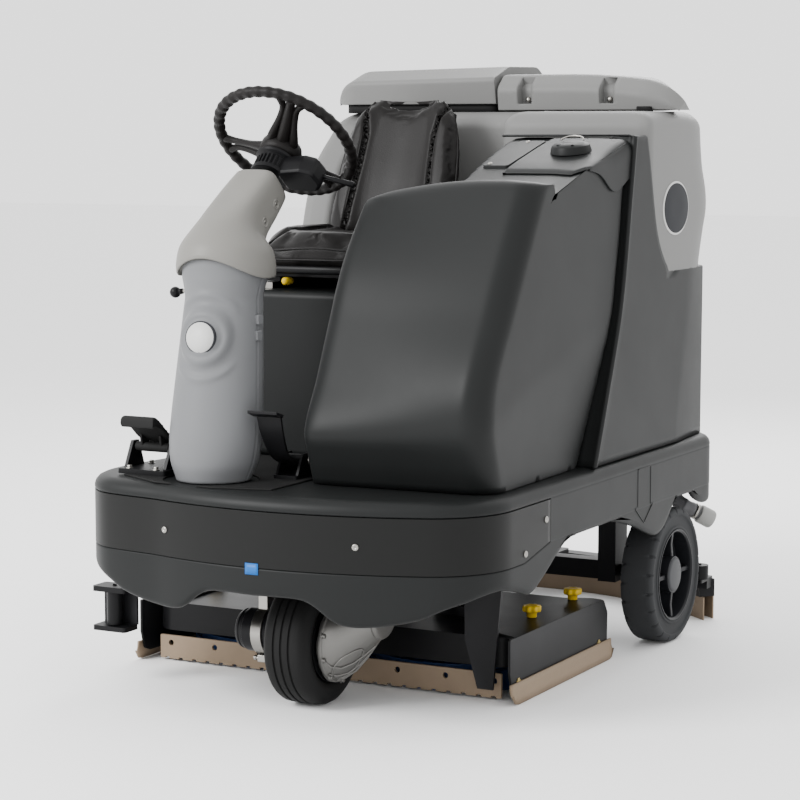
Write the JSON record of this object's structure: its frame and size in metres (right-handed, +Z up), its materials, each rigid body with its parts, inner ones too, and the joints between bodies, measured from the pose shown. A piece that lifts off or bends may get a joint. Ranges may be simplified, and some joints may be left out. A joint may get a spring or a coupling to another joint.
{
  "type": "ride-on floor scrubber machine",
  "caption": "Ride-on floor scrubbing and drying machine with tanks, seat, steering column, disc brush deck and curved rear squeegee.",
  "frame": {"origin": "on the floor, under the middle of the whole machine's outline, squeegee and deck included", "axes": "+Z up, -Y towards the machine's front, +X towards the driver's left"},
  "size_m": [1.205, 1.8629, 1.512],
  "materials": {
    "frame_steel": "black powder coat, satin",
    "dark_plastic": "dark grey moulded polyethylene, fine grain",
    "band_paint": "dark grey satin paint",
    "screw_steel": "bright button-head screws",
    "mat_rubber": "black ribbed rubber",
    "battery_case": "black moulded cases",
    "light_plastic": "light warm grey moulded polyethylene",
    "motor_paint": "black motor enamel",
    "hose_grey": "grey ribbed hose",
    "badge": "plain dark disc with a pale ring",
    "column_grey": "light cool grey moulded plastic",
    "black_plastic": "black moulded plastic",
    "wheel_rubber": "near-black moulded grip",
    "bright_steel": "zinc-plated steel",
    "seat_vinyl": "black vinyl with piped edges",
    "yellow_plastic": "yellow moulded plastic",
    "cast_alloy": "sand-cast alloy",
    "black_tyre": "black grooved rubber",
    "grey_tyre": "grey non-marking rubber",
    "rim_paint": "black painted rim",
    "tan_rubber": "tan wear-resistant rubber",
    "brush_plastic": "brush disc with nylon bristles"
  },
  "bodies": {
    "chassis": {"chassis_frame": "frame_steel", "lower_body": "dark_plastic", "bumper_band": "band_paint", "cover_screws": "screw_steel", "floor_mat": "mat_rubber", "solution_tank": "dark_plastic", "fill_hinge": "dark_plastic", "battery_box": "dark_plastic", "batteries": "battery_case", "rear_body": "dark_plastic", "recovery_tank": "light_plastic", "vacuum_cover": "light_plastic", "vacuum_motor": "motor_paint", "drain_hose": "hose_grey", "badges": "badge", "column_front_cover": "column_grey", "column_rear_cover": "column_grey", "pedal_plates": "frame_steel", "seat_rails": "bright_steel"},
    "column_head": {"column_head_cover": "column_grey", "column_collar": "black_plastic", "control_pod": "black_plastic"},
    "steering": {"steering_wheel": "wheel_rubber", "steering_hub": "black_plastic"},
    "lower_shaft": {"steering_shaft": "bright_steel"},
    "tilt_lock": {"tilt_lever": "black_plastic"},
    "drive_treadle": {"drive_pedal": "mat_rubber"},
    "brake_treadle": {"brake_pedal": "frame_steel"},
    "seat": {"seat_pan": "frame_steel", "seat_cushion": "seat_vinyl", "seat_back": "seat_vinyl"},
    "seat_handle": {"seat_lever": "yellow_plastic"},
    "tank_lid": {"recovery_lid": "light_plastic"},
    "hatch": {"fill_lid": "dark_plastic"},
    "drive_unit": {"drive_yoke": "frame_steel", "drive_gearbox": "cast_alloy", "drive_motor": "motor_paint", "motor_strap": "bright_steel"},
    "drive_wheel": {"drive_tyre": "black_tyre", "drive_rim": "frame_steel"},
    "rear_wheel_left": {"rear_tyre_left": "grey_tyre", "rear_rim_left": "rim_paint"},
    "rear_wheel_right": {"rear_tyre_right": "grey_tyre", "rear_rim_right": "rim_paint"},
    "scrub_deck": {"deck_housing": "frame_steel", "brush_motors": "motor_paint", "side_skirts": "frame_steel", "deck_blades": "tan_rubber"},
    "left_brush": {"brush_left": "brush_plastic"},
    "right_brush": {"brush_right": "brush_plastic"},
    "left_front_knob": {"knob_left_front": "yellow_plastic"},
    "left_rear_knob": {"knob_left_rear": "yellow_plastic"},
    "right_front_knob": {"knob_right_front": "yellow_plastic"},
    "right_rear_knob": {"knob_right_rear": "yellow_plastic"},
    "guard": {"guard_roller": "black_plastic"},
    "squeegee_lift": {"squeegee_arm": "frame_steel"},
    "squeegee": {"squeegee_beam": "frame_steel", "squeegee_blades": "tan_rubber"},
    "left_end_roller": {"squeegee_roller_left": "black_plastic"},
    "right_end_roller": {"squeegee_roller_right": "black_plastic"}
  },
  "joints": [
    {"name": "column_tilt", "type": "hinge", "parent": "chassis", "child": "column_head", "pos_m": [-0.1275, -0.7, 1.03], "axis": [1, 0, 0], "range_deg": [-8, 8]},
    {"name": "steering_turn", "type": "hinge", "parent": "column_head", "child": "steering", "pos_m": [-0.1275, -0.427, 1.312], "axis": [0, 0.6947, 0.7193], "range_deg": [-400, 400]},
    {"name": "shaft_turn", "type": "hinge", "parent": "chassis", "child": "lower_shaft", "pos_m": [-0.1275, -0.7, 1.03], "axis": [0, 0.1231, 0.9924], "range_deg": [-400, 400]},
    {"name": "tilt_lock_turn", "type": "hinge", "parent": "chassis", "child": "tilt_lock", "pos_m": [-0.2225, -0.708, 0.968], "axis": [0, 1, 0], "range_deg": [0, 25]},
    {"name": "drive_pedal_press", "type": "hinge", "parent": "chassis", "child": "drive_treadle", "pos_m": [-0.3125, -0.735, 0.592], "axis": [1, 0, 0], "range_deg": [0, 15], "stiffness_Nm_per_rad": 6, "springref_deg": -5.73},
    {"name": "brake_pedal_press", "type": "hinge", "parent": "chassis", "child": "brake_treadle", "pos_m": [0.0275, -0.64, 0.575], "axis": [1, 0, 0], "range_deg": [0, 14], "stiffness_Nm_per_rad": 12, "springref_deg": -6.88},
    {"name": "seat_adjust", "type": "slide", "parent": "chassis", "child": "seat", "axis": [0, -1, 0], "range_m": [0, 0.1]},
    {"name": "seat_handle_turn", "type": "hinge", "parent": "seat", "child": "seat_handle", "pos_m": [-0.1875, -0.24, 0.966], "axis": [0, 0, 1], "range_deg": [0, 14], "stiffness_Nm_per_rad": 0.3},
    {"name": "tank_lid_open", "type": "hinge", "parent": "chassis", "child": "tank_lid", "pos_m": [-0.1745, 0.7, 1.395], "axis": [-1, 0, 0], "range_deg": [0, 80]},
    {"name": "hatch_open", "type": "hinge", "parent": "chassis", "child": "hatch", "pos_m": [0.2515, -0.165, 1.2985], "axis": [0, -0.9697, -0.2442], "range_deg": [0, 100]},
    {"name": "drive_steer", "type": "hinge", "parent": "chassis", "child": "drive_unit", "pos_m": [0.0775, -0.655, 0.4], "axis": [0, 0, 1], "range_deg": [-65, 65]},
    {"name": "drive_wheel_spin", "type": "hinge", "parent": "drive_unit", "child": "drive_wheel", "pos_m": [0.0775, -0.655, 0.153], "axis": [1, 0, 0], "continuous": true},
    {"name": "rear_wheel_left_spin", "type": "hinge", "parent": "chassis", "child": "rear_wheel_left", "pos_m": [0.54, 0.375, 0.178], "axis": [1, 0, 0], "continuous": true},
    {"name": "rear_wheel_right_spin", "type": "hinge", "parent": "chassis", "child": "rear_wheel_right", "pos_m": [-0.385, 0.375, 0.178], "axis": [1, 0, 0], "continuous": true},
    {"name": "deck_raise", "type": "slide", "parent": "chassis", "child": "scrub_deck", "axis": [0, 0, 1], "range_m": [0, 0.05]},
    {"name": "left_brush_spin", "type": "hinge", "parent": "scrub_deck", "child": "left_brush", "pos_m": [0.2375, -0.172, 0.05], "axis": [0, 0, 1], "continuous": true},
    {"name": "right_brush_spin", "type": "hinge", "parent": "scrub_deck", "child": "right_brush", "pos_m": [-0.2665, -0.172, 0.05], "axis": [0, 0, 1], "continuous": true},
    {"name": "left_front_knob_turn", "type": "hinge", "parent": "scrub_deck", "child": "left_front_knob", "pos_m": [0.4375, -0.212, 0.17], "axis": [0, 0, 1], "continuous": true},
    {"name": "left_rear_knob_turn", "type": "hinge", "parent": "scrub_deck", "child": "left_rear_knob", "pos_m": [0.4375, 0.034, 0.17], "axis": [0, 0, 1], "continuous": true},
    {"name": "right_front_knob_turn", "type": "hinge", "parent": "scrub_deck", "child": "right_front_knob", "pos_m": [-0.4665, -0.212, 0.17], "axis": [0, 0, 1], "continuous": true},
    {"name": "right_rear_knob_turn", "type": "hinge", "parent": "scrub_deck", "child": "right_rear_knob", "pos_m": [-0.4665, 0.034, 0.17], "axis": [0, 0, 1], "continuous": true},
    {"name": "guard_roller_spin", "type": "hinge", "parent": "chassis", "child": "guard", "pos_m": [-0.4505, -0.705, 0.18], "axis": [0, 0, 1], "continuous": true},
    {"name": "squeegee_raise", "type": "hinge", "parent": "chassis", "child": "squeegee_lift", "pos_m": [0.0775, 0.51, 0.3], "axis": [1, 0, 0], "range_deg": [0, 20]},
    {"name": "squeegee_swivel", "type": "hinge", "parent": "squeegee_lift", "child": "squeegee", "pos_m": [-0.0145, 0.8, 0.15], "axis": [0, 0, 1], "range_deg": [-4, 4]},
    {"name": "left_end_roller_spin", "type": "hinge", "parent": "squeegee", "child": "left_end_roller", "pos_m": [0.5515, 0.634, 0.14], "axis": [0, 0, 1], "continuous": true},
    {"name": "right_end_roller_spin", "type": "hinge", "parent": "squeegee", "child": "right_end_roller", "pos_m": [-0.5805, 0.634, 0.14], "axis": [0, 0, 1], "continuous": true}
  ],
  "couplings": [
    {"joint": "steering_turn", "follows": "drive_steer", "ratio": 6},
    {"joint": "shaft_turn", "follows": "drive_steer", "ratio": 6}
  ]
}
